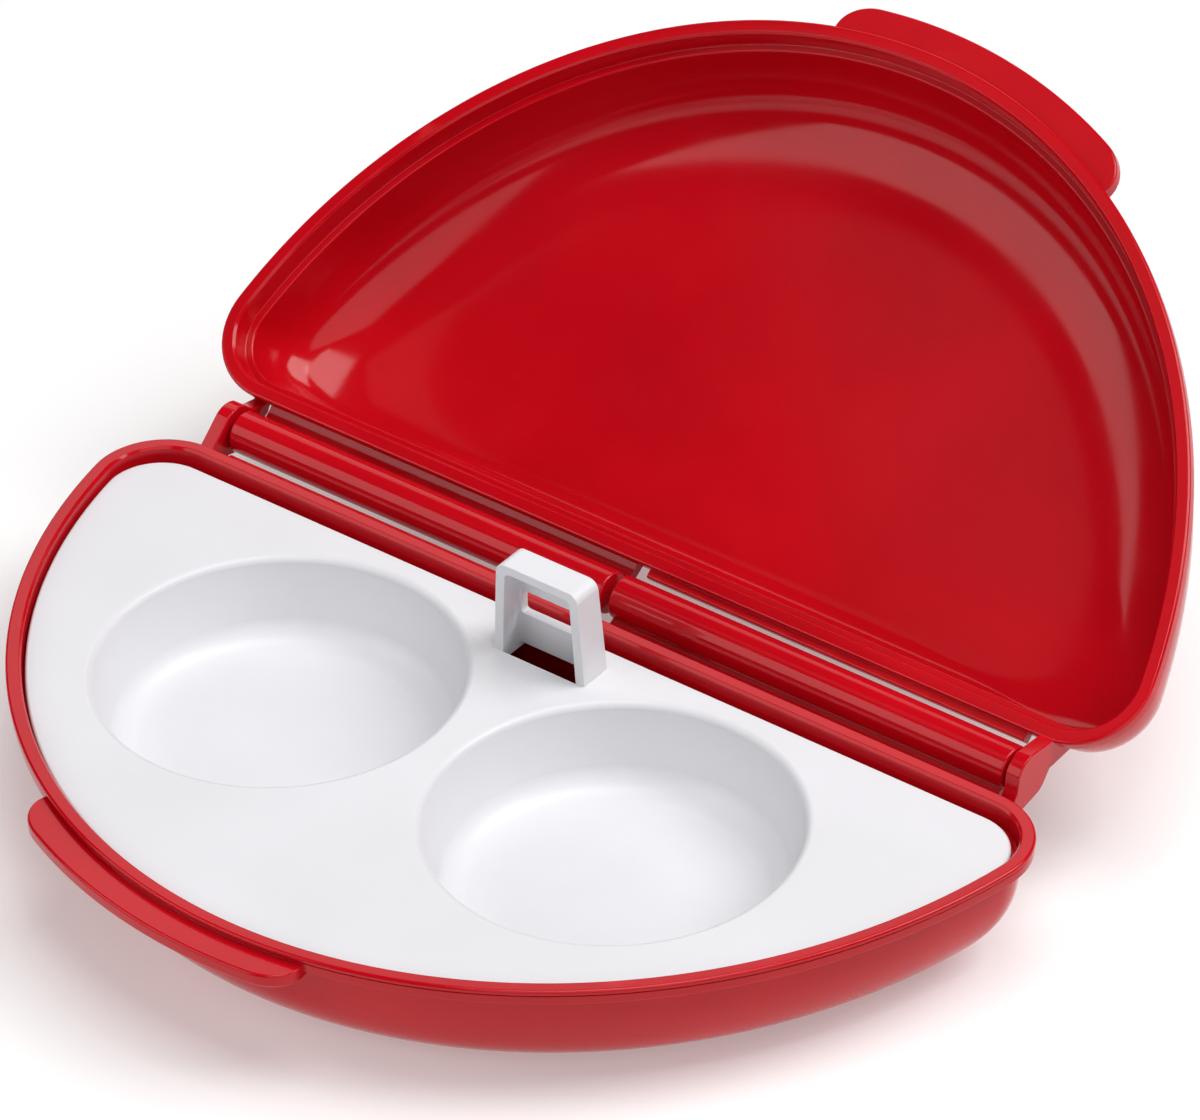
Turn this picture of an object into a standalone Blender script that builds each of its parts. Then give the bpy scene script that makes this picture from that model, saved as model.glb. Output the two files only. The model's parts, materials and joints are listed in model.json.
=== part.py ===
"""Microwave egg cooker: two alike half-moon shells joined by their own hinge, and a lift-out egg tray
with a finger handle.

Frame: metres, +Z up, X along the hinge. The origin is the middle of the base's flat underside.
Both shells are drawn with the hinge axis above y = 0 and the bowl towards -Y, then moved back to the
frame's origin. The lid is modelled shut and then turned open about the hinge axis.
"""
from math import asin, cos, pi, radians, sin, sqrt

import bmesh
import bpy
from mathutils import Matrix, Vector

MM = 0.001

# ---- driving dimensions, millimetres ----
HINGE_Y = 57.0               # the hinge axis lies this far behind the origin
SHELL_HEIGHT = 28.0          # underside of the base to its rim
ARC_HALF_WIDTH = 117.0       # the front of the outline is part of an ellipse
ARC_DEPTH = 126.5
ARC_CENTRE_Y = -2.0
HINGE_EDGE_Y = -7.8          # straight back edge of the rim, from the hinge axis
CORNER_RADIUS = 15.5
FLOOR_CORNER_RADIUS = 27.0   # the same corner down at the bowl's floor
RIM_GAP = 0.3                # each rim stays this far from the hinge axis plane

RIM_WIDTH = 3.4
RIM_SKIRT = 3.4              # height of the rim's outer band
OUTER_CHAMFER = 0.6          # round the outer top edge of the rim and of the tray
INNER_CHAMFER = 0.4          # round the inner top edge of the rim
LEDGE_DEPTH = 4.8            # the step inside the rim that carries the tray
LEDGE_WIDTH = 1.7
WALL = 2.1
BASE_FLOOR = 3.8             # the base carries the lid's weight when open, so its floor is the thick one
LID_FLOOR = 1.6
BOWL_ARC_INSET = 30.0        # how far the bowl draws in from ledge to floor, on the arc
BOWL_BACK_INSET = 9.5        # the same on the hinge side
FOOT_BACK_INSET = 7.6        # the same on the hinge side of the outer wall, which stands steeper
BOWL_POWER = 2.8             # superellipse power of the bowl wall

BARREL_RADIUS = 4.6
BARREL_INNER_X = 1.0         # the barrels leave a gap twice this wide in the middle
BARREL_OUTER_X = 97.2
EAR_INNER_X = 98.2
EAR_OUTER_X = 101.5
EAR_RADIUS = 5.3
EAR_NOSE = (62.0, 62.0)      # the ear's round top: where its arc starts and how far it turns, degrees
EAR_HEEL = (250.0, 40.0)     # the same for its underside
STUB_RADIUS = 1.8
STUB_ROOT = 1.5              # the pin is buried this deep in its ear
STUB_LENGTH = 4.6
SOCKET_RADIUS = 2.1
SOCKET_DEPTH = 4.4
SOCKET_CLEAR = 0.2           # the socket's cut stops this far short of the ear
WEB_END = 0.6                # the web stops this far short of each end of the barrel
WEB_HOLLOW_CENTRE = (-6.4, 0.6)
WEB_HOLLOW_RADIUS = 4.6
WEB_HOLLOW = (218.0, 92.0)   # where the web's concave arc starts and how far it turns, degrees
LIP_EDGE_Y = -6.0            # the lip behind the rim, under the other shell's barrel, reaches back to here
LIP_TOP = -1.5               # its top and bottom, from the hinge axis
LIP_BOTTOM = -3.5
LIP_END = 2.0                # and it stops this far short of each end of that barrel

TAB_CENTRE_ANGLE = 8.0       # degrees off the middle, so that the two tabs lie side by side
TAB_HALF_ANGLE = 18.5
TAB_REACH = 6.2
TAB_DROP = 1.9               # the tab's top lies this far below the rim
TAB_THICKNESS = 3.0
TAB_END_ANGLE = 4.0          # each end of the tab fades out over this many degrees
TAB_ROOT_INSET = 3.2         # the tab is buried this far into the rim
TAB_STEPS = 26

TRAY_DROP = 2.3              # the tray's top lies this far below the rim
TRAY_THICKNESS = 2.2
TRAY_ARC_INSET = 3.8
TRAY_BACK_INSET = 5.2
CUP_X = 41.7
CUP_Y = -56.0
CUP_RADIUS = 39.0
CUP_EDGE_ROUND = 1.8
CUP_FLOOR_RADIUS = 34.5
CUP_FLOOR_ROUND = 6.0
CUP_DEPTH = 17.5
CUP_WALL = 2.3
CUP_DRAFT = 84.0             # the floor's fillet turns this many degrees, which leaves the wall leaning out

HANDLE_HEIGHT = 21.7
HANDLE_HALF_WIDTH = 11.3
HANDLE_TOP_HALF_WIDTH = 10.1
HANDLE_FRONT_Y = -25.6
HANDLE_BACK_Y = -18.0
HANDLE_TOP_BACK_Y = -18.8
HANDLE_PLATE = 2.1
WINDOW_HALF_WIDTH = 8.2
WINDOW_LOW = 7.0
WINDOW_HIGH = 12.9
WINDOW_REACH = 3.0           # the window's cut runs this far past the back plate's faces
HANDLE_GAP = 0.3             # the handle is a node of its own, this far above the plate

OPEN_ANGLE = 144.0           # shut to open, degrees

# ---- derived ----
AXIS_Z = SHELL_HEIGHT + RIM_GAP
ARC_STEPS = 40
CORNER_STEPS = 7
BACK_STEPS = 6
BOWL_STEPS = 7
BARREL_SEGMENTS = 28
PIN_SEGMENTS = 20
CUP_SEGMENTS = 40
FILLET_STEPS = 4
LIP_STEPS = 3
EAR_STEPS = 6
BISECTIONS = 50              # halvings when a corner's fillet is fitted
FITTED_BELOW = 0.6           # radians: the fillet always starts lower on the arc than this
SMOOTH_BELOW = 35.0          # degrees: edges that turn less than this are shaded smooth


def clear_scene():
    for item in list(bpy.data.objects):
        bpy.data.objects.remove(item, do_unlink=True)


def plastic(name, colour, roughness):
    material = bpy.data.materials.new(name)
    material.use_nodes = True
    shader = material.node_tree.nodes["Principled BSDF"]
    shader.inputs["Base Color"].default_value = (*colour, 1.0)
    shader.inputs["Roughness"].default_value = roughness
    shader.inputs["Metallic"].default_value = 0.0
    return material


def new_object(name, bm):
    bmesh.ops.recalc_face_normals(bm, faces=bm.faces)
    mesh = bpy.data.meshes.new(name)
    bm.to_mesh(mesh)
    bm.free()
    item = bpy.data.objects.new(name, mesh)
    bpy.context.scene.collection.objects.link(item)
    return item


def paint(item, material):
    item.data.materials.clear()
    item.data.materials.append(material)


def combine(target, tool, operation):
    """Apply a Boolean to target and drop the tool."""
    modifier = target.modifiers.new(operation.lower(), "BOOLEAN")
    modifier.operation = operation
    modifier.solver = "EXACT"
    modifier.object = tool
    depsgraph = bpy.context.evaluated_depsgraph_get()
    result = bpy.data.meshes.new_from_object(target.evaluated_get(depsgraph))
    target.modifiers.clear()
    old = target.data
    target.data = result
    bpy.data.meshes.remove(old)
    bpy.data.objects.remove(tool, do_unlink=True)


# ---- the half-moon outline ----
def arc_point(angle, arc_inset):
    """A point on the inset front ellipse, and the unit vector from it into the outline."""
    half_width = ARC_HALF_WIDTH - arc_inset
    depth = ARC_DEPTH - arc_inset
    point = Vector((half_width * cos(angle), ARC_CENTRE_Y + depth * sin(angle)))
    inward = Vector((-cos(angle) / half_width, -sin(angle) / depth)).normalized()
    return point, inward


def corner_angle(arc_inset, back_y, radius):
    """Where on the arc the right corner's fillet starts, by bisection."""
    low, high = -pi / 2, FITTED_BELOW
    for _ in range(BISECTIONS):
        middle = (low + high) / 2
        point, inward = arc_point(middle, arc_inset)
        if point.y + radius * inward.y < back_y - radius:
            low = middle
        else:
            high = middle
    return low


def outline(arc_inset, back_inset, radius):
    """The half-moon as a ring of (x, y) points, the same number for every inset."""
    back_y = HINGE_EDGE_Y - back_inset
    start = corner_angle(arc_inset, back_y, radius)
    point, inward = arc_point(start, arc_inset)
    centre = point + radius * inward
    turn = asin(max(-1.0, min(1.0, -inward.y)))
    right = [
        centre + radius * Vector((cos(a), sin(a)))
        for a in (pi / 2 + (turn - pi / 2) * i / CORNER_STEPS for i in range(CORNER_STEPS + 1))
    ]
    arc = [
        arc_point(start + (-pi - 2 * start) * i / ARC_STEPS, arc_inset)[0]
        for i in range(1, ARC_STEPS)
    ]
    left = [Vector((-p.x, p.y)) for p in reversed(right)]
    back = [
        left[-1].lerp(right[0], i / BACK_STEPS) for i in range(1, BACK_STEPS)
    ]
    return right + arc + left + back


def level_ring(bm, points, z):
    """Vertices at one height through (x, y) points."""
    return [bm.verts.new((x * MM, y * MM, z * MM)) for x, y in points]


def shell_ring(bm, arc_inset, back_inset, radius, z):
    return level_ring(bm, outline(arc_inset, back_inset, radius), z)


def loft(bm, rings):
    """Join each ring to the next with quads and close both ends with flat caps."""
    for lower, upper in zip(rings, rings[1:]):
        count = len(lower)
        for i in range(count):
            j = (i + 1) % count
            bm.faces.new((lower[i], lower[j], upper[j], upper[i]))
    bm.faces.new(rings[0])
    bm.faces.new(list(reversed(rings[-1])))


def bowl_fraction(step):
    """Superellipse quarter: how far in and how far down the bowl wall is at a step."""
    angle = step * pi / 2
    inward = 1 - max(cos(angle), 0.0) ** (2 / BOWL_POWER)
    down = max(sin(angle), 0.0) ** (2 / BOWL_POWER)
    return inward, down


def corner_radius(inset, inward):
    """Corners start concentric with the rim and open out towards the floor."""
    return (CORNER_RADIUS - inset) * (1 - inward) + FLOOR_CORNER_RADIUS * inward


def shell_rings(bm, floor):
    """From the middle of the underside, up the outside, over the rim and down the inside."""
    outer_inset = RIM_WIDTH + LEDGE_WIDTH - WALL
    inner_inset = RIM_WIDTH + LEDGE_WIDTH
    steps = [i / BOWL_STEPS for i in range(BOWL_STEPS + 1)]
    rings = []
    outer_height = SHELL_HEIGHT - RIM_SKIRT
    for step in reversed(steps):
        inward, down = bowl_fraction(step)
        rings.append(
            shell_ring(
                bm,
                outer_inset + BOWL_ARC_INSET * inward,
                outer_inset + FOOT_BACK_INSET * inward,
                corner_radius(outer_inset, inward),
                outer_height * (1 - down),
            )
        )
    for inset, z in (
        (0.0, outer_height),
        (0.0, SHELL_HEIGHT - OUTER_CHAMFER),
        (OUTER_CHAMFER, SHELL_HEIGHT),
        (RIM_WIDTH - INNER_CHAMFER, SHELL_HEIGHT),
        (RIM_WIDTH, SHELL_HEIGHT - INNER_CHAMFER),
        (RIM_WIDTH, SHELL_HEIGHT - LEDGE_DEPTH),
    ):
        rings.append(shell_ring(bm, inset, inset, CORNER_RADIUS - inset, z))
    inner_height = SHELL_HEIGHT - LEDGE_DEPTH - floor
    for step in steps:
        inward, down = bowl_fraction(step)
        rings.append(
            shell_ring(
                bm,
                inner_inset + BOWL_ARC_INSET * inward,
                inner_inset + BOWL_BACK_INSET * inward,
                corner_radius(inner_inset, inward),
                SHELL_HEIGHT - LEDGE_DEPTH - inner_height * down,
            )
        )
    return rings


# ---- hinge pieces, drawn as (y, z) profiles about the axis and run along X ----
def prism(name, profile, x_low, x_high):
    """A profile of (y, z) points from the hinge axis, run from x_low to x_high."""
    bm = bmesh.new()
    ends = []
    for x in (x_low, x_high):
        ends.append([bm.verts.new((x * MM, y * MM, (AXIS_Z + z) * MM)) for y, z in profile])
    loft(bm, ends)
    return new_object(name, bm)


def circle(radius, segments, start=0.0, sweep=2 * pi):
    """A ring of points, or an arc with both its ends where it sweeps less than a full turn."""
    count = segments if sweep == 2 * pi else segments + 1
    return [
        (radius * cos(start + sweep * i / segments), radius * sin(start + sweep * i / segments))
        for i in range(count)
    ]


def ear_profile():
    """Round end, a gusset down to the shell wall, and the shoulder that stops the other shell."""
    nose = circle(EAR_RADIUS, EAR_STEPS, *(radians(a) for a in EAR_NOSE))
    gusset = [(-8.6, -0.5), (-10.9, -0.9), (-11.0, -4.9), (-12.7, -5.2), (-12.8, -10.6), (-3.6, -4.6)]
    heel = circle(EAR_RADIUS, FILLET_STEPS, *(radians(a) for a in EAR_HEEL))
    shoulder = [(9.6, -1.2), (10.9, 1.2), (10.2, 2.45), (8.85, 1.45), (5.0, 2.3)]
    return nose + gusset + heel + shoulder


def web_profile():
    """The concave strip that ties the barrel to the back of the rim."""
    hollow = [
        (WEB_HOLLOW_CENTRE[0] + y, WEB_HOLLOW_CENTRE[1] + z)
        for y, z in circle(WEB_HOLLOW_RADIUS, EAR_STEPS, *(radians(a) for a in WEB_HOLLOW))
    ]
    top = [(-10.9, -2.3), *hollow, (-1.0, -1.0)]
    underside = [(-0.6, -4.4), (-5.5, -6.0), (-12.6, -6.6), (-12.6, -5.2), (-10.9, -4.9)]
    return top + underside


def lip_profile():
    """A shelf behind the rim that closes most of the gap to the other shell's barrel."""
    root = HINGE_EDGE_Y - RIM_WIDTH / 2
    corner = LIP_EDGE_Y - INNER_CHAMFER
    return [
        (root, LIP_TOP),
        (corner, LIP_TOP),
        (LIP_EDGE_Y, LIP_TOP - INNER_CHAMFER),
        (LIP_EDGE_Y, LIP_BOTTOM),
        (root, LIP_BOTTOM),
    ]


def add_hinge(shell):
    combine(shell, prism("ear", ear_profile(), -EAR_OUTER_X, -EAR_INNER_X), "UNION")
    web = prism("web", web_profile(), BARREL_INNER_X + WEB_END, BARREL_OUTER_X - WEB_END)
    combine(shell, web, "UNION")
    combine(shell, prism("lip", lip_profile(), LIP_END - BARREL_OUTER_X, -BARREL_INNER_X - LIP_END), "UNION")
    barrel = prism("barrel", circle(BARREL_RADIUS, BARREL_SEGMENTS), BARREL_INNER_X, BARREL_OUTER_X)
    combine(shell, barrel, "UNION")
    stub = circle(STUB_RADIUS, PIN_SEGMENTS)
    combine(shell, prism("stub", stub, -EAR_INNER_X - STUB_ROOT, -EAR_INNER_X + STUB_LENGTH), "UNION")
    socket = circle(SOCKET_RADIUS, PIN_SEGMENTS)
    cutter = prism("socket", socket, BARREL_OUTER_X - SOCKET_DEPTH, EAR_INNER_X - SOCKET_CLEAR)
    combine(shell, cutter, "DIFFERENCE")


# ---- the finger tab on the front of each shell ----
def tab_reach(fraction):
    """How far the tab stands out at a place from -1 to 1 along it: full, then a round fade at each end."""
    edge = (1 - abs(fraction)) * TAB_HALF_ANGLE / TAB_END_ANGLE
    if edge >= 1:
        return TAB_REACH
    return TAB_REACH * sqrt(max(0.0, 1 - (1 - edge) ** 2))


def add_tab(shell):
    fractions = [sin((i / TAB_STEPS - 0.5) * pi) for i in range(TAB_STEPS + 1)]
    middle = radians(-90 - TAB_CENTRE_ANGLE)
    edge = []
    for fraction in fractions:
        point, inward = arc_point(middle + fraction * radians(TAB_HALF_ANGLE), 0.0)
        edge.append(point - tab_reach(fraction) * inward)
    root = []
    for fraction in reversed(fractions):
        root.append(arc_point(middle + fraction * radians(TAB_HALF_ANGLE), TAB_ROOT_INSET)[0])
    top = SHELL_HEIGHT - TAB_DROP
    bm = bmesh.new()
    loft(bm, [level_ring(bm, edge + root, z) for z in (top - TAB_THICKNESS, top)])
    combine(shell, new_object("tab", bm), "UNION")


def make_shell(name, material, floor):
    bm = bmesh.new()
    loft(bm, shell_rings(bm, floor))
    shell = new_object(name, bm)
    add_hinge(shell)
    add_tab(shell)
    paint(shell, material)
    return shell


# ---- the egg tray ----
def turned_profile(centre, radius, steps, turn):
    """An arc of (radius, depth) points from straight down, turning outwards."""
    return [
        (centre[0] + radius * sin(i / steps * turn), centre[1] + radius * cos(i / steps * turn))
        for i in range(steps + 1)
    ]


def cup_profile(wall):
    """Radius and depth of a cup from its floor up to its wall's top, moved outwards by the wall."""
    centre = (CUP_FLOOR_RADIUS - CUP_FLOOR_ROUND, CUP_DEPTH - CUP_FLOOR_ROUND)
    return turned_profile(centre, CUP_FLOOR_ROUND + wall, FILLET_STEPS, radians(CUP_DRAFT))


def cup_solid(name, x, profile):
    """A closed turned solid about the cup's own axis."""
    top = SHELL_HEIGHT - TRAY_DROP
    turns = [2 * pi * i / CUP_SEGMENTS for i in range(CUP_SEGMENTS)]
    bm = bmesh.new()
    rings = []
    for radius, depth in profile:
        points = [(x + radius * cos(a), CUP_Y + radius * sin(a)) for a in turns]
        rings.append(level_ring(bm, points, top - depth))
    loft(bm, rings)
    return new_object(name, bm)


def cup_outside():
    return cup_profile(CUP_WALL) + [(CUP_RADIUS - CUP_EDGE_ROUND + CUP_WALL, TRAY_THICKNESS / 2)]


def cup_inside():
    """The egg's hollow, whose lip flares out to the plate, run on past the plate for a clean cut."""
    lip = [(CUP_RADIUS + (r - CUP_EDGE_ROUND), CUP_EDGE_ROUND - d) for r, d in cup_lip()]
    return cup_profile(0.0) + lip + [(CUP_RADIUS, -TRAY_THICKNESS)]


def cup_lip():
    turns = [i / LIP_STEPS * pi / 2 for i in range(LIP_STEPS + 1)]
    return [(CUP_EDGE_ROUND * (1 - cos(a)), CUP_EDGE_ROUND * sin(a)) for a in turns]


def tray_plate(name):
    """The flat plate, with a small chamfer round its top and bottom edges."""
    top = SHELL_HEIGHT - TRAY_DROP
    bottom = top - TRAY_THICKNESS
    radius = CORNER_RADIUS - TRAY_ARC_INSET
    bm = bmesh.new()
    rings = []
    for inset, z in (
        (INNER_CHAMFER, bottom),
        (0.0, bottom + INNER_CHAMFER),
        (0.0, top - OUTER_CHAMFER),
        (OUTER_CHAMFER, top),
    ):
        rings.append(shell_ring(bm, TRAY_ARC_INSET + inset, TRAY_BACK_INSET + inset, radius - inset, z))
    loft(bm, rings)
    return new_object(name, bm)


def block(name, levels):
    """A block through (half width, front y, back y, z) levels."""
    bm = bmesh.new()
    rings = []
    for half, front, back, z in levels:
        corners = ((-half, front), (half, front), (half, back), (-half, back))
        rings.append(level_ring(bm, corners, z))
    loft(bm, rings)
    return new_object(name, bm)


def cut_slot(tray):
    """The slot through the plate under the handle's hollow."""
    top = SHELL_HEIGHT - TRAY_DROP
    half = HANDLE_HALF_WIDTH - HANDLE_PLATE
    back = HANDLE_BACK_Y - HANDLE_PLATE
    ends = (top - 2 * TRAY_THICKNESS, top + TRAY_THICKNESS)
    cutter = block("slot", [(half, HANDLE_FRONT_Y, back, z) for z in ends])
    combine(tray, cutter, "DIFFERENCE")


def make_tray(name, material):
    tray = tray_plate(name)
    for side in (-1, 1):
        combine(tray, cup_solid("cup_outside", side * CUP_X, cup_outside()), "UNION")
    for side in (-1, 1):
        combine(tray, cup_solid("cup_inside", side * CUP_X, cup_inside()), "DIFFERENCE")
    cut_slot(tray)
    paint(tray, material)
    return tray


def make_handle(name, material):
    """A channel open to the front and below, with a window in its back plate."""
    top = SHELL_HEIGHT - TRAY_DROP
    crown = top + HANDLE_HEIGHT
    plate = HANDLE_PLATE
    handle = block(
        name,
        (
            (HANDLE_HALF_WIDTH, HANDLE_FRONT_Y, HANDLE_BACK_Y, top + HANDLE_GAP),
            (HANDLE_TOP_HALF_WIDTH, HANDLE_FRONT_Y, HANDLE_TOP_BACK_Y, crown),
        ),
    )
    front = HANDLE_FRONT_Y - plate
    hollow = block(
        "hollow",
        (
            (HANDLE_HALF_WIDTH - plate, front, HANDLE_BACK_Y - plate, top),
            (HANDLE_TOP_HALF_WIDTH - plate, front, HANDLE_TOP_BACK_Y - plate, crown - plate),
        ),
    )
    combine(handle, hollow, "DIFFERENCE")
    ends = (HANDLE_BACK_Y - plate - WINDOW_REACH, HANDLE_BACK_Y + WINDOW_REACH)
    window = block("window", [(WINDOW_HALF_WIDTH, *ends, top + z) for z in (WINDOW_LOW, WINDOW_HIGH)])
    combine(handle, window, "DIFFERENCE")
    paint(handle, material)
    return handle


def set_shading(item):
    item.data.shade_smooth()
    item.data.set_sharp_from_angle(angle=radians(SMOOTH_BELOW))


def add_hinge_empty():
    hinge = bpy.data.objects.new("hinge_axis", None)
    hinge.location = (0.0, HINGE_Y * MM, AXIS_Z * MM)
    bpy.context.scene.collection.objects.link(hinge)
    return hinge


def place_lid(lid, hinge):
    """The lid is the same moulding turned end for end about Y, then swung open about the hinge."""
    axis = Vector((0.0, 0.0, AXIS_Z * MM))
    lid.data.transform(Matrix.Translation(-axis))
    lid.data.transform(Matrix.Rotation(pi, 4, "Y"))
    lid.parent = hinge
    hinge.rotation_euler = (-radians(OPEN_ANGLE), 0.0, 0.0)


def red_plastic(name):
    return plastic(name, (0.50, 0.005, 0.012), 0.25)


def white_plastic(name):
    return plastic(name, (0.80, 0.80, 0.82), 0.4)


def main():
    clear_scene()
    base = make_shell("base_shell", red_plastic("base_red"), BASE_FLOOR)
    lid = make_shell("lid_shell", red_plastic("lid_red"), LID_FLOOR)
    tray = make_tray("egg_tray", white_plastic("tray_white"))
    handle = make_handle("tray_handle", white_plastic("handle_white"))
    place_lid(lid, add_hinge_empty())
    for item in (base, tray, handle):
        item.location.y = HINGE_Y * MM
    for item in (base, lid, tray, handle):
        set_shading(item)


main()
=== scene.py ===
"""Looks for the egg cooker: its three mouldings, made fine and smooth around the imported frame, their
plastics, and a white studio with the photo's camera.

Mouldings are drawn in millimetres as the part draws them: X along the hinge, the hinge axis above y = 0, the
bowl towards -Y and z up from the underside. Each is then placed by the frame's hinge joint.
"""

import json
from math import asin, cos, pi, radians, sin, sqrt

import bmesh
import bpy
from mathutils import Matrix, Vector


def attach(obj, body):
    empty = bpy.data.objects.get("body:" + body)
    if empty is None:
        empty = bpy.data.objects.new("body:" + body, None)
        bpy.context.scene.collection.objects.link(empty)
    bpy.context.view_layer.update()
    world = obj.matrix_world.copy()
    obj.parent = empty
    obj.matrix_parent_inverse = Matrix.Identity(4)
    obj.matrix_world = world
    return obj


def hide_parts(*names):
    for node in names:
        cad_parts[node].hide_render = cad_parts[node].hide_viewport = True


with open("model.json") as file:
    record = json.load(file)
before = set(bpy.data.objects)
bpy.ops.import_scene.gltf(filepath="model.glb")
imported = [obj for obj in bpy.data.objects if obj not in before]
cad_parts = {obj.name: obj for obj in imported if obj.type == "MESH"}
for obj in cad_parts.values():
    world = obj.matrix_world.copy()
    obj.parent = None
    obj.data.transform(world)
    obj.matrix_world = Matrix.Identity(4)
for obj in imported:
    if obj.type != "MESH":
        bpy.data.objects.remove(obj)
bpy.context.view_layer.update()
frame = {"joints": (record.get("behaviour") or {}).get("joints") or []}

MM = 0.001
HINGE = next(j for j in frame["joints"] if j["name"] == "lid_hinge")
AXIS = Vector(HINGE["pos_m"])
OPEN_ANGLE = HINGE["range_deg"][1]
AXIS_Z = AXIS.z / MM

# ---- the moulding's own sizes, millimetres ----
RIM_GAP = 0.3
SHELL_HEIGHT = AXIS_Z - RIM_GAP
HALF_WIDTH_AT_EDGE = 117.0
ARC_DEPTH = 126.5
ARC_CENTRE_Y = -2.0
HINGE_EDGE_Y = -7.8
CORNER_RADIUS = 15.5
FLOOR_CORNER_RADIUS = 27.0

RIM_WIDTH = 3.4
RIM_SKIRT = 3.4
LEDGE_DEPTH = 4.8
LEDGE_WIDTH = 1.7
WALL = 2.1
BASE_FLOOR = 3.8
LID_FLOOR = 1.6
BOWL_ARC_INSET = 30.0
BOWL_BACK_INSET = 9.5
FOOT_BACK_INSET = 7.6
BOWL_POWER = 2.8
SKIRT_TO_WALL = 0.7          # the outer wall's first ring lies this far under the skirt
LEDGE_TO_WALL = 0.9          # the inner wall's first ring lies this far under the tray ledge
FLAT_RUN = 2.0               # gives a rounded edge's flats their direction; longer than the rounding

BARREL_RADIUS = 4.6
BARREL_INNER_X = 1.0
BARREL_OUTER_X = 97.2
EAR_INNER_X = 98.2
EAR_OUTER_X = 101.5
EAR_RADIUS = 5.3
EAR_EDGE = 0.3               # rounding of the ear's edges
EAR_EDGE_ANGLE = 50          # degrees: the ear's edges that turn more than this are rounded
BARREL_END_DEPTH = 1.5       # the last ring on each flat end lies this far in from the barrel's surface
EAR_NOSE = (62.0, 62.0)      # start and turn of the ear's round top, degrees
EAR_HEEL = (250.0, 40.0)     # the same for its underside
WEB_END = 0.6
WEB_HOLLOW_CENTRE = (-6.4, 0.6)
WEB_HOLLOW_RADIUS = 4.6
WEB_HOLLOW = (218.0, 92.0)   # start and turn of the web's concave arc, degrees
STUB_RADIUS = 1.8
STUB_ROOT = 1.5
STUB_LENGTH = 4.6
SOCKET_RADIUS = 2.1
SOCKET_DEPTH = 4.4
LIP_EDGE_Y = -6.0
LIP_TOP = -1.5
LIP_BOTTOM = -3.5
LIP_END = 2.0

TAB_CENTRE_ANGLE = 8.0
TAB_HALF_ANGLE = 18.5
TAB_REACH = 6.2
TAB_DROP = 1.9
TAB_THICKNESS = 3.0
TAB_END_ANGLE = 4.0
TAB_ROOT_INSET = 3.0

TRAY_DROP = 2.3
TRAY_THICKNESS = 2.2
TRAY_ARC_INSET = 3.8
TRAY_BACK_INSET = 5.2
CUP_X = 41.7
CUP_Y = -56.0
CUP_RADIUS = 39.0
CUP_EDGE_ROUND = 1.8
CUP_FLOOR_RADIUS = 34.5
CUP_FLOOR_ROUND = 6.0
CUP_DEPTH = 17.5
CUP_WALL = 2.3
CUP_DRAFT = 84.0             # turn of the floor's fillet, degrees, which leaves the wall leaning out

HANDLE_HEIGHT = 21.7
HANDLE_HALF_WIDTH = 11.3
HANDLE_TOP_HALF_WIDTH = 10.1
HANDLE_FRONT_Y = -25.6
HANDLE_BACK_Y = -18.0
HANDLE_TOP_BACK_Y = -18.8
HANDLE_PLATE = 2.1
HANDLE_ROUND = 2.3
WINDOW_HALF_WIDTH = 8.2
WINDOW_LOW = 7.0
WINDOW_HIGH = 12.9
WINDOW_ROUND = 0.7
WINDOW_TAPER = 0.3
WINDOW_SEAM = 0.01           # the window's outline ends this far short of where it starts
WINDOW_REACH = 3.0           # the window's cut runs this far past the back plate
CUT_PAST = 1.0               # other cuts run this far past the face they open
HANDLE_EDGE = 0.42           # rounding of the handle's edges
HOLLOW_ROUND = 1.2
SLOT_LIP = 0.7               # thickness of the plate behind the slot, which is hollowed from below
SLOT_DEPTH = 6.0             # the slot's cut runs this far down, past the plate
SLOT_STEP = 0.2              # height of the slope between the slot's wide and narrow parts

ARC_STEPS = 150
CORNER_STEPS = 18
BACK_STEPS = 30
BOWL_STEPS = 26
ROUND_STEPS = 4
END_STEPS = 5
TAB_STEPS = 90
BARREL_SEGMENTS = 72
PIN_SEGMENTS = 32
CUP_SEGMENTS = 144
CUP_FLOOR_STEPS = 14
CUP_LIP_STEPS = 10
ARCH_STEPS = 8
EAR_NOSE_STEPS = 14
EAR_HEEL_STEPS = 8
WEB_STEPS = 18
BISECTIONS = 50
FITTED_BELOW = 0.6           # radians: a corner's fillet always starts lower on the arc than this
SHARP_ABOVE = 38.0           # degrees: edges that turn more than this stay sharp in the shading

INSIDE, OUTSIDE = 0, 1       # material slots of a shell


def new_object(name, bm):
    bmesh.ops.recalc_face_normals(bm, faces=bm.faces)
    mesh = bpy.data.meshes.new(name)
    bm.to_mesh(mesh)
    bm.free()
    item = bpy.data.objects.new(name, mesh)
    bpy.context.scene.collection.objects.link(item)
    return item


def apply_modifiers(item):
    depsgraph = bpy.context.evaluated_depsgraph_get()
    result = bpy.data.meshes.new_from_object(item.evaluated_get(depsgraph))
    item.modifiers.clear()
    item.data = result


def combine(target, tool, operation):
    modifier = target.modifiers.new("combine", "BOOLEAN")
    modifier.operation = operation
    modifier.solver = "EXACT"
    modifier.object = tool
    apply_modifiers(target)
    bpy.data.objects.remove(tool, do_unlink=True)


def soften(item, width, segments=3, angle=30):
    """Round the edges of a plain solid that turn more than the angle, in degrees."""
    modifier = item.modifiers.new("soften", "BEVEL")
    modifier.width = width * MM
    modifier.segments = segments
    modifier.limit_method = "ANGLE"
    modifier.angle_limit = radians(angle)
    apply_modifiers(item)


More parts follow.
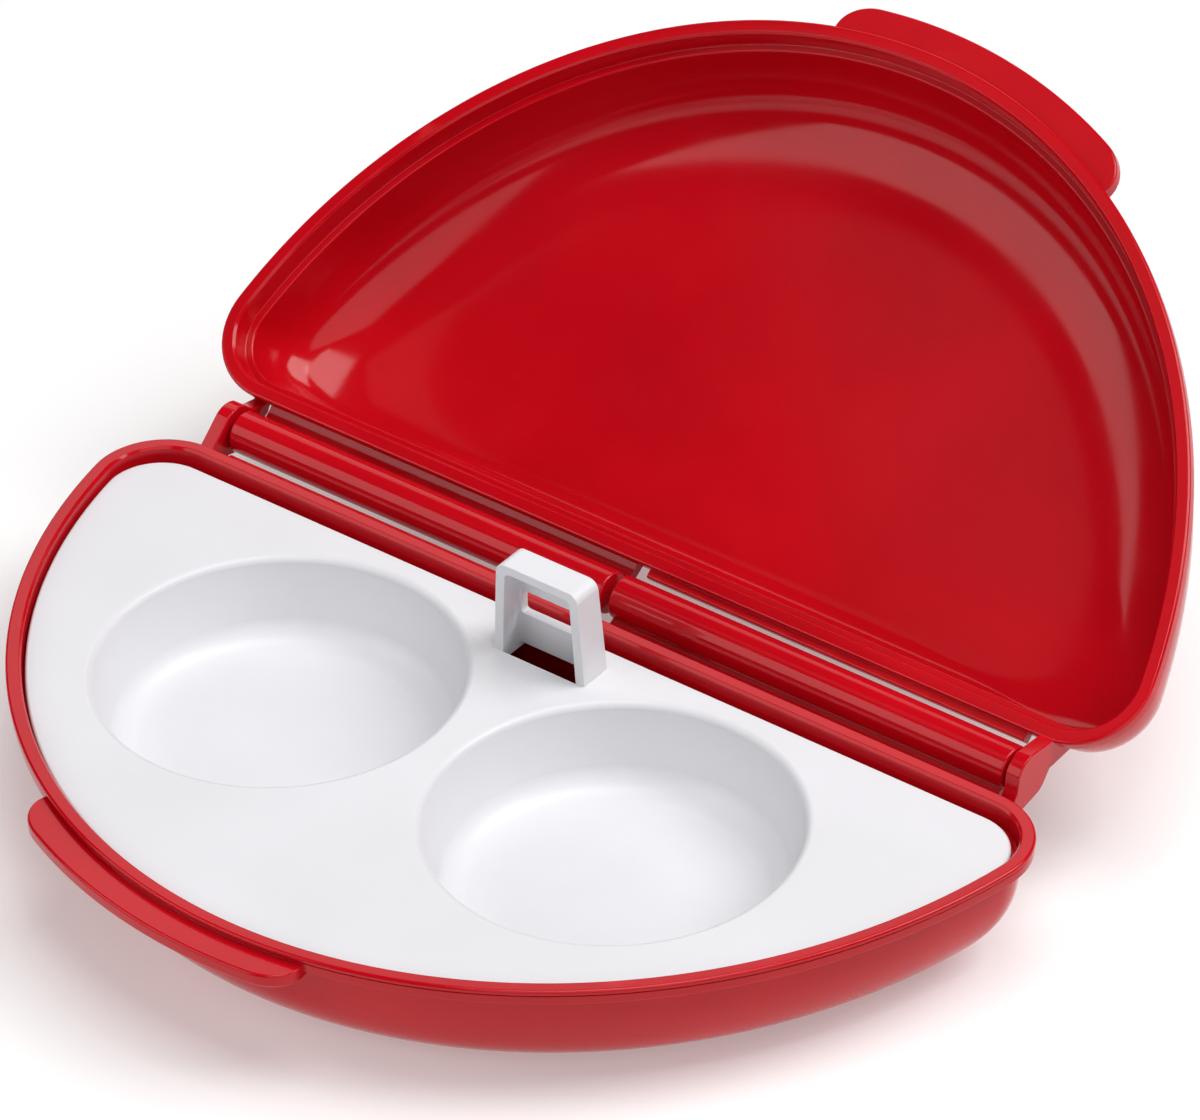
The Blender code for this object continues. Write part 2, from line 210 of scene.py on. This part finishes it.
def rounded(corners, steps=ROUND_STEPS):
    """A polyline through (a, b, radius) corners, each corner turned into an arc of that radius."""
    points = [Vector(corners[0][:2])]
    for before, corner, after in zip(corners, corners[1:], corners[2:]):
        here = Vector(corner[:2])
        back = (Vector(before[:2]) - here).normalized()
        ahead = (Vector(after[:2]) - here).normalized()
        half = back.angle(ahead) / 2
        centre = here + (back + ahead).normalized() * corner[2] / sin(half)
        first = here + back * corner[2] / (sin(half) / cos(half)) - centre
        last = here + ahead * corner[2] / (sin(half) / cos(half)) - centre
        turn = first.angle_signed(last)
        for i in range(steps + 1):
            angle = -turn * i / steps
            c, s = cos(angle), sin(angle)
            points.append(centre + Vector((first.x * c - first.y * s, first.x * s + first.y * c)))
    points.append(Vector(corners[-1][:2]))
    return [(p.x, p.y) for p in points]


# ---- the half-moon outline ----
def arc_point(angle, arc_inset):
    half_width = HALF_WIDTH_AT_EDGE - arc_inset
    depth = ARC_DEPTH - arc_inset
    point = Vector((half_width * cos(angle), ARC_CENTRE_Y + depth * sin(angle)))
    inward = Vector((-cos(angle) / half_width, -sin(angle) / depth)).normalized()
    return point, inward


def corner_angle(arc_inset, back_y, radius):
    """Where on the arc the right corner's fillet starts, by bisection."""
    low, high = -pi / 2, FITTED_BELOW
    for _ in range(BISECTIONS):
        middle = (low + high) / 2
        point, inward = arc_point(middle, arc_inset)
        if point.y + radius * inward.y < back_y - radius:
            low = middle
        else:
            high = middle
    return low


def outline(arc_inset, back_inset, radius):
    """The half-moon as a ring of (x, y) points, the same number for every inset."""
    back_y = HINGE_EDGE_Y - back_inset
    start = corner_angle(arc_inset, back_y, radius)
    point, inward = arc_point(start, arc_inset)
    centre = point + radius * inward
    turn = asin(max(-1.0, min(1.0, -inward.y)))
    right = [
        centre + radius * Vector((cos(a), sin(a)))
        for a in (pi / 2 + (turn - pi / 2) * i / CORNER_STEPS for i in range(CORNER_STEPS + 1))
    ]
    arc = [arc_point(start + (-pi - 2 * start) * i / ARC_STEPS, arc_inset)[0] for i in range(1, ARC_STEPS)]
    left = [Vector((-p.x, p.y)) for p in reversed(right)]
    back = [left[-1].lerp(right[0], i / BACK_STEPS) for i in range(1, BACK_STEPS)]
    return right + arc + left + back


def ring(bm, points, z):
    """Vertices at one height through (x, y) points."""
    return [bm.verts.new((p[0] * MM, p[1] * MM, z * MM)) for p in points]


def loft(bm, rings, slots=None):
    """Join each ring to the next with quads and cap both ends; slots gives each ring's material."""
    for number, (lower, upper) in enumerate(zip(rings, rings[1:])):
        count = len(lower)
        for i in range(count):
            j = (i + 1) % count
            face = bm.faces.new((lower[i], lower[j], upper[j], upper[i]))
            face.material_index = slots[number] if slots else 0
    bottom = bm.faces.new(rings[0])
    top = bm.faces.new(list(reversed(rings[-1])))
    if slots:
        bottom.material_index = slots[0]
        top.material_index = slots[-1]


def bowl_fraction(step):
    """Superellipse quarter: how far in and how far down the bowl wall is at a step."""
    angle = step * pi / 2
    inward = 1 - max(cos(angle), 0.0) ** (2 / BOWL_POWER)
    down = max(sin(angle), 0.0) ** (2 / BOWL_POWER)
    return inward, down


def bowl_steps():
    """Steps from rim to floor, closer together where the superellipse turns fastest."""
    return [0.5 - 0.5 * cos(pi * i / BOWL_STEPS) for i in range(BOWL_STEPS + 1)]


def corner_radius(inset, inward):
    """Corners start concentric with the rim and open out towards the floor."""
    return (CORNER_RADIUS - inset) * (1 - inward) + FLOOR_CORNER_RADIUS * inward


def wall_rings(bm, inset, back_run, top, height, steps):
    """Rings down a bowl's wall, from the top over the height, at the given steps."""
    rings = []
    for step in steps:
        inward, down = bowl_fraction(step)
        arc_inset = inset + BOWL_ARC_INSET * inward
        points = outline(arc_inset, inset + back_run * inward, corner_radius(inset, inward))
        rings.append(ring(bm, points, top - height * down))
    return rings


def rim_profile():
    """(inset, z) up the skirt, over the rim and down to the tray ledge, with every edge rounded."""
    top = SHELL_HEIGHT
    skirt = top - RIM_SKIRT
    ledge = top - LEDGE_DEPTH
    corners = [
        (RIM_WIDTH + LEDGE_WIDTH - WALL, skirt - SKIRT_TO_WALL, 0.0),
        (RIM_WIDTH + LEDGE_WIDTH - WALL, skirt, 0.5),
        (0.22, skirt, 0.35),
        (0.22, top - 1.42, 0.1),
        (0.55, top - 1.3, 0.08),
        (0.55, top - 1.12, 0.08),
        (0.0, top - 1.0, 0.12),
        (0.0, top, 0.6),
        (RIM_WIDTH - 0.75, top, 0.25),
        (RIM_WIDTH - 0.25, top - 0.6, 0.25),
        (RIM_WIDTH, ledge, 0.3),
        (RIM_WIDTH + LEDGE_WIDTH, ledge, 0.45),
        (RIM_WIDTH + LEDGE_WIDTH, ledge - LEDGE_TO_WALL, 0.0),
    ]
    return rounded(corners)


def shell_body(name, floor):
    """One half-moon bowl: up the outer wall from the foot, over the rim and down to the floor."""
    bm = bmesh.new()
    steps = bowl_steps()
    outer_inset = RIM_WIDTH + LEDGE_WIDTH - WALL
    inner_inset = RIM_WIDTH + LEDGE_WIDTH
    outer_top = SHELL_HEIGHT - RIM_SKIRT - SKIRT_TO_WALL
    inner_top = SHELL_HEIGHT - LEDGE_DEPTH - LEDGE_TO_WALL
    outer = wall_rings(bm, outer_inset, FOOT_BACK_INSET, outer_top, outer_top, list(reversed(steps)))
    rim = [
        ring(bm, outline(inset, inset, CORNER_RADIUS - inset), z)
        for inset, z in rim_profile()[1:-1]
    ]
    inner = wall_rings(bm, inner_inset, BOWL_BACK_INSET, inner_top, inner_top - floor, steps)
    rings = outer + rim + inner
    ledge_edge = len(outer) + len(rim) - ROUND_STEPS
    slots = [OUTSIDE if i < ledge_edge else INSIDE for i in range(len(rings))]
    loft(bm, rings, slots)
    return new_object(name, bm)


# ---- hinge ----
def prism(name, profile, x_low, x_high):
    """A profile of (y, z) points from the hinge axis, run from x_low to x_high."""
    bm = bmesh.new()
    ends = []
    for x in (x_low, x_high):
        ends.append([bm.verts.new((x * MM, y * MM, (AXIS_Z + z) * MM)) for y, z in profile])
    loft(bm, ends, (OUTSIDE, OUTSIDE))
    return new_object(name, bm)


def circle(radius, segments, start=0.0, sweep=2 * pi):
    """A ring of points, or an arc with both its ends where it sweeps less than a full turn."""
    count = segments if sweep == 2 * pi else segments + 1
    return [
        (radius * cos(start + sweep * i / segments), radius * sin(start + sweep * i / segments))
        for i in range(count)
    ]


def turned(name, stations, segments=BARREL_SEGMENTS):
    """A solid turned about the hinge axis through (x, radius) stations."""
    bm = bmesh.new()
    rings = []
    for x, radius in stations:
        rings.append([bm.verts.new((x * MM, y * MM, (AXIS_Z + z) * MM)) for y, z in circle(radius, segments)])
    loft(bm, rings, [OUTSIDE] * len(rings))
    return new_object(name, bm)


def barrel_stations():
    """The barrel as (x, radius) points, with a rounded edge at each end."""
    return rounded(
        [
            (BARREL_INNER_X, BARREL_RADIUS - BARREL_END_DEPTH, 0.0),
            (BARREL_INNER_X, BARREL_RADIUS, 0.55),
            (BARREL_OUTER_X, BARREL_RADIUS, 0.55),
            (BARREL_OUTER_X, BARREL_RADIUS - BARREL_END_DEPTH, 0.0),
        ],
        END_STEPS,
    )


def ear_profile():
    """Round end, a gusset down to the shell wall, and the shoulder on the hinge's far side."""
    nose = circle(EAR_RADIUS, EAR_NOSE_STEPS, *(radians(a) for a in EAR_NOSE))
    gusset = [(-8.6, -0.5), (-10.9, -0.9), (-11.0, -4.9), (-12.7, -5.2), (-12.8, -10.6), (-3.6, -4.6)]
    heel = circle(EAR_RADIUS, EAR_HEEL_STEPS, *(radians(a) for a in EAR_HEEL))
    shoulder = [(9.6, -1.2), (10.9, 1.2), (10.2, 2.45), (8.85, 1.45), (5.0, 2.3)]
    return nose + gusset + heel + shoulder


def web_profile():
    """The concave strip that ties the barrel to the back of the rim."""
    hollow = [
        (WEB_HOLLOW_CENTRE[0] + y, WEB_HOLLOW_CENTRE[1] + z)
        for y, z in circle(WEB_HOLLOW_RADIUS, WEB_STEPS, *(radians(a) for a in WEB_HOLLOW))
    ]
    top = [(-10.9, -2.3), *hollow, (-1.0, -1.0)]
    underside = [(-0.6, -4.4), (-5.5, -6.0), (-12.6, -6.6), (-12.6, -5.2), (-10.9, -4.9)]
    return top + underside


def lip_profile():
    """The shelf behind the rim, under the other shell's barrel, with a rounded edge."""
    root = HINGE_EDGE_Y - RIM_WIDTH / 2
    return rounded(
        [
            (root, LIP_TOP, 0.0),
            (LIP_EDGE_Y, LIP_TOP, 0.5),
            (LIP_EDGE_Y, LIP_BOTTOM, 0.4),
            (root, LIP_BOTTOM, 0.0),
        ]
    )


def add_hinge(shell):
    ear = prism("ear", ear_profile(), -EAR_OUTER_X, -EAR_INNER_X)
    soften(ear, EAR_EDGE, angle=EAR_EDGE_ANGLE)
    combine(shell, ear, "UNION")
    web = prism("web", web_profile(), BARREL_INNER_X + WEB_END, BARREL_OUTER_X - WEB_END)
    combine(shell, web, "UNION")
    lip = prism("lip", lip_profile(), LIP_END - BARREL_OUTER_X, -BARREL_INNER_X - LIP_END)
    combine(shell, lip, "UNION")
    combine(shell, turned("barrel", barrel_stations()), "UNION")
    stub = [(x, STUB_RADIUS) for x in (-EAR_INNER_X - STUB_ROOT, -EAR_INNER_X + STUB_LENGTH)]
    combine(shell, turned("stub", stub, PIN_SEGMENTS), "UNION")
    socket = [(x, SOCKET_RADIUS) for x in (BARREL_OUTER_X - SOCKET_DEPTH, EAR_INNER_X)]
    combine(shell, turned("socket", socket, PIN_SEGMENTS), "DIFFERENCE")


# ---- the finger tab ----
def tab_reach(fraction):
    """How far the tab stands out at a place from -1 to 1 along it: full, then a round fade at each end."""
    edge = (1 - abs(fraction)) * TAB_HALF_ANGLE / TAB_END_ANGLE
    if edge >= 1:
        return TAB_REACH
    return TAB_REACH * sqrt(max(0.0, 1 - (1 - edge) ** 2))


def tab_ring(bm, fractions, offset, z):
    middle = radians(-90 - TAB_CENTRE_ANGLE)
    edge = []
    root = []
    for fraction in fractions:
        angle = middle + fraction * radians(TAB_HALF_ANGLE)
        point, inward = arc_point(angle, 0.0)
        edge.append(point - (tab_reach(fraction) - offset) * inward)
        root.append(arc_point(angle, TAB_ROOT_INSET)[0])
    return ring(bm, edge + list(reversed(root)), z)


def add_tab(shell):
    fractions = [sin((i / TAB_STEPS - 0.5) * pi) for i in range(TAB_STEPS + 1)]
    top = SHELL_HEIGHT - TAB_DROP
    profile = rounded(
        [
            (FLAT_RUN, top - TAB_THICKNESS, 0.0),
            (0.0, top - TAB_THICKNESS, 0.8),
            (0.0, top, 0.6),
            (FLAT_RUN, top, 0.0),
        ],
        END_STEPS,
    )
    bm = bmesh.new()
    rings = [tab_ring(bm, fractions, offset, z) for offset, z in profile[1:-1]]
    loft(bm, rings, [OUTSIDE] * len(rings))
    combine(shell, new_object("tab", bm), "UNION")


def finish_mesh(item):
    """Smooth shading that keeps flats flat."""
    item.data.shade_smooth()
    item.data.set_sharp_from_angle(angle=radians(SHARP_ABOVE))
    modifier = item.modifiers.new("flats", "WEIGHTED_NORMAL")
    modifier.keep_sharp = True
    modifier.weight = 80


def make_shell(name, floor):
    shell = shell_body(name, floor)
    add_hinge(shell)
    add_tab(shell)
    return shell


# ---- the egg tray ----
def cup_profile(offset):
    """Radius and depth of a cup from its floor up to its wall's top, moved outwards by the offset."""
    floor_round = CUP_FLOOR_ROUND + offset
    centre_radius = CUP_FLOOR_RADIUS - CUP_FLOOR_ROUND
    centre_depth = CUP_DEPTH - CUP_FLOOR_ROUND
    return [
        (
            centre_radius + floor_round * sin(i / CUP_FLOOR_STEPS * radians(CUP_DRAFT)),
            centre_depth + floor_round * cos(i / CUP_FLOOR_STEPS * radians(CUP_DRAFT)),
        )
        for i in range(CUP_FLOOR_STEPS + 1)
    ]


def cup_solid(name, x, profile):
    """A closed turned solid about the cup's own axis."""
    top = SHELL_HEIGHT - TRAY_DROP
    bm = bmesh.new()
    turns = [2 * pi * i / CUP_SEGMENTS for i in range(CUP_SEGMENTS)]
    rings = []
    for radius, depth in profile:
        points = [(x + radius * cos(a), CUP_Y + radius * sin(a)) for a in turns]
        rings.append(ring(bm, points, top - depth))
    loft(bm, rings)
    return new_object(name, bm)


def cup_outside():
    return cup_profile(CUP_WALL) + [(CUP_RADIUS - CUP_EDGE_ROUND + CUP_WALL, TRAY_THICKNESS * 0.5)]


def cup_inside():
    """The egg's hollow with its rounded lip, run on past the plate for a clean cut."""
    edge = [
        (
            CUP_RADIUS - CUP_EDGE_ROUND * sin(i / CUP_LIP_STEPS * pi / 2),
            CUP_EDGE_ROUND * (1 - cos(i / CUP_LIP_STEPS * pi / 2)),
        )
        for i in range(CUP_LIP_STEPS, -1, -1)
    ]
    return cup_profile(0.0) + edge + [(CUP_RADIUS, -2 * CUT_PAST)]


def tray_plate(name):
    """The flat plate, with rounded top and bottom edges."""
    top = SHELL_HEIGHT - TRAY_DROP
    profile = rounded(
        [
            (FLAT_RUN, top - TRAY_THICKNESS, 0.0),
            (0.0, top - TRAY_THICKNESS, 0.35),
            (0.0, top, 0.6),
            (FLAT_RUN, top, 0.0),
        ]
    )
    bm = bmesh.new()
    corner = CORNER_RADIUS - TRAY_ARC_INSET
    rings = [
        ring(bm, outline(TRAY_ARC_INSET + extra, TRAY_BACK_INSET + extra, corner - extra), z)
        for extra, z in profile[1:-1]
    ]
    loft(bm, rings)
    return new_object(name, bm)


def arch(half_low, half_high, z_low, z_high, radius):
    """Front view of the handle: straight leaning sides and two rounded top corners, as (x, z) points."""
    left = [(-half_low, z_low, 0.0), (-half_high, z_high, radius)]
    right = [(half_high, z_high, radius), (half_low, z_low, 0.0)]
    return rounded(left + right, ARCH_STEPS)


def handle_block(name, face, front, back_low, back_high, z_low, z_high):
    """An arch pushed from the front back to a leaning back face."""
    bm = bmesh.new()
    near = [bm.verts.new((x * MM, front * MM, z * MM)) for x, z in face]
    far = []
    for x, z in face:
        back = back_low + (back_high - back_low) * (z - z_low) / (z_high - z_low)
        far.append(bm.verts.new((x * MM, back * MM, z * MM)))
    loft(bm, [near, far])
    return new_object(name, bm)


def handle_body():
    """A channel open to the front and below."""
    low = SHELL_HEIGHT - TRAY_DROP - SLOT_LIP
    crown = SHELL_HEIGHT - TRAY_DROP + HANDLE_HEIGHT
    outer = arch(HANDLE_HALF_WIDTH, HANDLE_TOP_HALF_WIDTH, low, crown, HANDLE_ROUND)
    body = handle_block("handle", outer, HANDLE_FRONT_Y, HANDLE_BACK_Y, HANDLE_TOP_BACK_Y, low, crown)
    half_low = HANDLE_HALF_WIDTH - HANDLE_PLATE
    half_high = HANDLE_TOP_HALF_WIDTH - HANDLE_PLATE
    back_low = HANDLE_BACK_Y - HANDLE_PLATE
    back_high = HANDLE_TOP_BACK_Y - HANDLE_PLATE
    floor = low - CUT_PAST
    ceiling = crown - HANDLE_PLATE
    inner = arch(half_low, half_high, floor, ceiling, HOLLOW_ROUND)
    front = HANDLE_FRONT_Y - CUT_PAST
    combine(body, handle_block("hollow", inner, front, back_low, back_high, floor, ceiling), "DIFFERENCE")
    return body


def window_cutter():
    """The window's round-cornered outline, run through the back plate."""
    low = SHELL_HEIGHT - TRAY_DROP + WINDOW_LOW
    high = SHELL_HEIGHT - TRAY_DROP + WINDOW_HIGH
    half_low = WINDOW_HALF_WIDTH
    half_high = WINDOW_HALF_WIDTH - WINDOW_TAPER
    face = rounded(
        [
            (0.0, low, 0.0),
            (half_low, low, WINDOW_ROUND),
            (half_high, high, WINDOW_ROUND),
            (-half_high, high, WINDOW_ROUND),
            (-half_low, low, WINDOW_ROUND),
            (-WINDOW_SEAM, low, 0.0),
        ]
    )
    back = HANDLE_BACK_Y + WINDOW_REACH
    return handle_block("window", face, HANDLE_FRONT_Y + WINDOW_REACH, back, back, low, high)


def make_handle():
    body = handle_body()
    combine(body, window_cutter(), "DIFFERENCE")
    soften(body, HANDLE_EDGE)
    return body


def make_slot_cutter():
    """The slot through the plate, wider below so that only a thin lip is left behind it."""
    top = SHELL_HEIGHT - TRAY_DROP
    half = HANDLE_HALF_WIDTH - HANDLE_PLATE
    back = HANDLE_BACK_Y - HANDLE_PLATE
    levels = (
        (HANDLE_BACK_Y, top - SLOT_DEPTH),
        (HANDLE_BACK_Y, top - SLOT_LIP),
        (back, top - SLOT_LIP + SLOT_STEP),
        (back, top + SLOT_STEP),
    )
    bm = bmesh.new()
    rings = []
    for reach, z in levels:
        corners = [(-half, HANDLE_FRONT_Y), (half, HANDLE_FRONT_Y), (half, reach), (-half, reach)]
        rings.append(ring(bm, corners, z))
    loft(bm, rings)
    return new_object("slot", bm)


def make_tray(name):
    tray = tray_plate(name)
    for side in (-1, 1):
        combine(tray, cup_solid("cup_outside", side * CUP_X, cup_outside()), "UNION")
    for side in (-1, 1):
        combine(tray, cup_solid("cup_inside", side * CUP_X, cup_inside()), "DIFFERENCE")
    combine(tray, make_slot_cutter(), "DIFFERENCE")
    combine(tray, make_handle(), "UNION")
    return tray


# ---- materials ----
def node(tree, kind, **values):
    made = tree.nodes.new(kind)
    for name, value in values.items():
        setattr(made, name, value)
    return made


def noise(tree, coordinates, scale, detail=4.0, stretch=None):
    source = coordinates
    if stretch:
        mapping = node(tree, "ShaderNodeMapping")
        mapping.inputs["Scale"].default_value = stretch
        tree.links.new(coordinates, mapping.inputs["Vector"])
        source = mapping.outputs["Vector"]
    texture = node(tree, "ShaderNodeTexNoise")
    texture.inputs["Scale"].default_value = scale
    texture.inputs["Detail"].default_value = detail
    tree.links.new(source, texture.inputs["Vector"])
    return texture.outputs["Fac"]


def remap(tree, value, low, high, new_low, new_high):
    """Clamped linear change of range."""
    change = node(tree, "ShaderNodeMapRange")
    for name, number in zip(("From Min", "From Max", "To Min", "To Max"), (low, high, new_low, new_high)):
        change.inputs[name].default_value = number
    tree.links.new(value, change.inputs["Value"])
    return change.outputs["Result"]


def combine_values(tree, operation, first, second):
    maths = node(tree, "ShaderNodeMath", operation=operation)
    for socket, value in zip(maths.inputs, (first, second)):
        if isinstance(value, (int, float)):
            socket.default_value = value
        else:
            tree.links.new(value, socket)
    return maths.outputs["Value"]


def mix_colours(tree, factor, first, second):
    mix = node(tree, "ShaderNodeMix", data_type="RGBA")
    tree.links.new(factor, mix.inputs["Factor"])
    for socket, value in ((mix.inputs[6], first), (mix.inputs[7], second)):
        if isinstance(value, tuple):
            socket.default_value = (*value, 1.0)
        else:
            tree.links.new(value, socket)
    return mix.outputs[2]


def bump(tree, height, distance, strength, normal=None):
    made = node(tree, "ShaderNodeBump")
    made.inputs["Distance"].default_value = distance
    made.inputs["Strength"].default_value = strength
    tree.links.new(height, made.inputs["Height"])
    if normal:
        tree.links.new(normal, made.inputs["Normal"])
    return made.outputs["Normal"]


def plastic(name, colour, deep, worn, roughness, grain, waviness, specular):
    """Moulded plastic: colour drift, satin grain, hairline rubs, sink waviness and paler worn edges."""
    material = bpy.data.materials.new(name)
    material.use_nodes = True
    tree = material.node_tree
    shader = tree.nodes["Principled BSDF"]
    place = node(tree, "ShaderNodeTexCoord").outputs["Object"]
    drift = remap(tree, noise(tree, place, 22.0, 3.0), 0.35, 0.65, 0.0, 1.0)
    base = mix_colours(tree, drift, colour, deep)
    edge = remap(tree, node(tree, "ShaderNodeNewGeometry").outputs["Pointiness"], 0.53, 0.62, 0.0, 1.0)
    patchy = remap(tree, noise(tree, place, 160.0, 5.0), 0.4, 0.7, 0.15, 1.0)
    wear = combine_values(tree, "MULTIPLY", combine_values(tree, "MULTIPLY", edge, patchy), 0.35)
    tree.links.new(mix_colours(tree, wear, base, worn), shader.inputs["Base Color"])
    smear = remap(tree, noise(tree, place, 48.0, 5.0), 0.3, 0.7, roughness[0], roughness[1])
    hair = noise(tree, place, 90.0, 2.0, stretch=(1.0, 26.0, 9.0))
    rubs = remap(tree, hair, 0.66, 0.72, 0.0, 0.07)
    tree.links.new(combine_values(tree, "ADD", smear, rubs), shader.inputs["Roughness"])
    fine = bump(tree, noise(tree, place, 2600.0, 2.0), 0.00006, grain)
    sink = bump(tree, noise(tree, place, 34.0, 1.0), 0.0009, waviness, fine)
    tree.links.new(sink, shader.inputs["Normal"])
    shader.inputs["IOR"].default_value = 1.46
    shader.inputs["Specular IOR Level"].default_value = specular
    return material


RED = (0.54, 0.0025, 0.009)
RED_DEEP = (0.47, 0.002, 0.0075)
RED_WORN = (0.72, 0.05, 0.05)
WHITE = (0.745, 0.745, 0.775)
WHITE_DEEP = (0.715, 0.715, 0.74)
WHITE_WORN = (0.82, 0.82, 0.82)


def dress(item, materials, body, cad_nodes):
    item.data.materials.clear()
    for material in materials:
        item.data.materials.append(material)
    finish_mesh(item)
    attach(item, body)
    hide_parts(*cad_nodes)


def place_lid(lid):
    """The lid is the same moulding turned end for end about Y, then swung open about the hinge."""
    lid.data.transform(Matrix.Translation((0.0, 0.0, -AXIS.z)))
    lid.data.transform(Matrix.Rotation(pi, 4, "Y"))
    lid.data.transform(Matrix.Rotation(-radians(OPEN_ANGLE), 4, "X"))
    lid.data.transform(Matrix.Translation(AXIS))


def build_object():
    red_inside = plastic("red_gloss_inside", RED, RED_DEEP, RED_WORN, (0.08, 0.15), 0.05, 0.04, 0.36)
    red_outside = plastic("red_satin_outside", RED, RED_DEEP, RED_WORN, (0.30, 0.42), 0.25, 0.04, 0.44)
    white = plastic("white_satin", WHITE, WHITE_DEEP, WHITE_WORN, (0.30, 0.42), 0.25, 0.05, 0.5)
    to_frame = Matrix.Translation((0.0, AXIS.y, 0.0))
    base = make_shell("base_moulding", BASE_FLOOR)
    base.data.transform(to_frame)
    lid = make_shell("lid_moulding", LID_FLOOR)
    place_lid(lid)
    tray = make_tray("tray_moulding")
    tray.data.transform(to_frame)
    dress(base, (red_inside, red_outside), "base", ["base_shell"])
    dress(lid, (red_inside, red_outside), "lid", ["lid_shell"])
    dress(tray, (white,), "tray", ["egg_tray", "tray_handle"])


# ---- studio ----
CAMERA_AZIMUTH = 38.42
CAMERA_ELEVATION = 36.21
CAMERA_ROLL = -1.61
CAMERA_DISTANCE = 1.658
CAMERA_TARGET = Vector((-0.0337, 0.0943, 0.0003))
CAMERA_LENS = 240.0

FLOOR_HALF_SIZE = 6.0
FLOOR_SQUARES = 24
FLOOR_CLEARANCE = 0.0002


def make_camera():
    azimuth, elevation, roll = (radians(a) for a in (CAMERA_AZIMUTH, CAMERA_ELEVATION, CAMERA_ROLL))
    back = Vector((sin(azimuth) * cos(elevation), -cos(azimuth) * cos(elevation), sin(elevation)))
    level = Vector((cos(azimuth), sin(azimuth), 0.0))
    upright = back.cross(level)
    right = level * cos(roll) + upright * sin(roll)
    up = upright * cos(roll) - level * sin(roll)
    data = bpy.data.cameras.new("camera")
    data.lens = CAMERA_LENS
    data.sensor_width = 36.0
    data.clip_end = 20.0
    camera = bpy.data.objects.new("camera", data)
    turn = Matrix((right, up, back)).transposed().to_4x4()
    camera.matrix_world = Matrix.Translation(CAMERA_TARGET + back * CAMERA_DISTANCE) @ turn
    bpy.context.scene.collection.objects.link(camera)
    bpy.context.scene.camera = camera


def softbox(name, azimuth, elevation, distance, width, height, power):
    """An area light aimed at the object from a direction; azimuth 0 is in front, 90 is to the right."""
    a, e = radians(azimuth), radians(elevation)
    direction = Vector((sin(a) * cos(e), -cos(a) * cos(e), sin(e)))
    data = bpy.data.lights.new(name, "AREA")
    data.shape = "RECTANGLE"
    data.size = width
    data.size_y = height
    data.energy = power
    light = bpy.data.objects.new(name, data)
    turn = direction.to_track_quat("Z", "Y").to_matrix().to_4x4()
    light.matrix_world = Matrix.Translation(direction * distance) @ turn
    bpy.context.scene.collection.objects.link(light)


def make_floor():
    """A pale floor that glows a little, so that it reaches white around the object."""
    bm = bmesh.new()
    bmesh.ops.create_grid(bm, x_segments=FLOOR_SQUARES, y_segments=FLOOR_SQUARES, size=FLOOR_HALF_SIZE)
    floor = new_object("studio_floor", bm)
    floor.location.z = -FLOOR_CLEARANCE
    material = bpy.data.materials.new("studio_white")
    material.use_nodes = True
    shader = material.node_tree.nodes["Principled BSDF"]
    shader.inputs["Base Color"].default_value = (0.72, 0.72, 0.72, 1.0)
    shader.inputs["Roughness"].default_value = 0.7
    shader.inputs["Specular IOR Level"].default_value = 0.2
    shader.inputs["Emission Color"].default_value = (1.0, 1.0, 1.0, 1.0)
    shader.inputs["Emission Strength"].default_value = 0.27
    floor.data.materials.append(material)


def make_world():
    world = bpy.data.worlds.new("studio")
    bpy.context.scene.world = world
    world.use_nodes = True
    background = world.node_tree.nodes["Background"]
    background.inputs["Color"].default_value = (1.0, 1.0, 1.0, 1.0)
    background.inputs["Strength"].default_value = 0.03


def make_studio():
    make_camera()
    make_floor()
    make_world()
    softbox("key", 130.0, 50.0, 1.6, 0.9, 0.9, 15.0)
    softbox("front_left", -40.0, 30.0, 1.7, 1.4, 1.0, 8.5)
    softbox("front_right", 48.0, 34.0, 1.7, 1.5, 1.2, 7.0)
    softbox("top", 90.0, 80.0, 1.6, 0.9, 0.9, 11.5)
    softbox("patch", -58.0, 64.0, 1.5, 0.4, 0.4, 0.15)
    softbox("back_left", -142.0, 36.0, 1.7, 1.2, 0.7, 3.0)
    bpy.context.scene.view_settings.view_transform = "Standard"


make_studio()
build_object()
bpy.context.view_layer.update()
